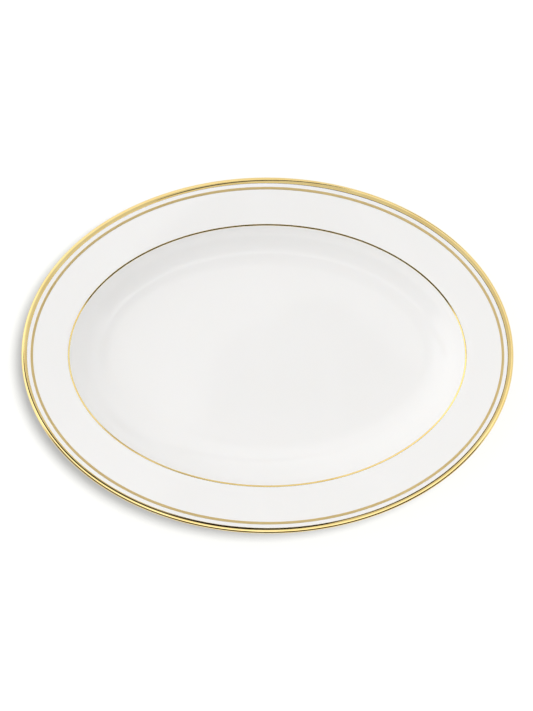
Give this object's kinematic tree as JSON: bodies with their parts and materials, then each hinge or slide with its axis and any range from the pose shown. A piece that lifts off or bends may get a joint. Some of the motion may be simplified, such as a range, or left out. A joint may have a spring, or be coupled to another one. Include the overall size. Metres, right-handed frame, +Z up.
{
  "type": "oval serving platter",
  "caption": "Oval bone china serving platter with a broad flat rim, a shallow well on an oval foot, a bright gold edge, a matt gold line inside it and a fine gold line round the well.",
  "frame": {"origin": "centre of the oval, on the plane the foot stands on", "axes": "+X along the platter's length, +Y across its width, +Z up out of the well"},
  "size_m": [0.33, 0.239, 0.027],
  "materials": {
    "glazed_china": "clear gloss glaze over white bone china, ground bare on the foot",
    "bright_gold": "burnished bright gold, fired on",
    "matt_gold": "matt gold, fired on and left unburnished"
  },
  "bodies": {
    "root": {"china_body": "glazed_china", "edge_gold_band": "bright_gold", "matt_gold_line": "matt_gold", "verge_gold_line": "bright_gold"}
  },
  "joints": []
}
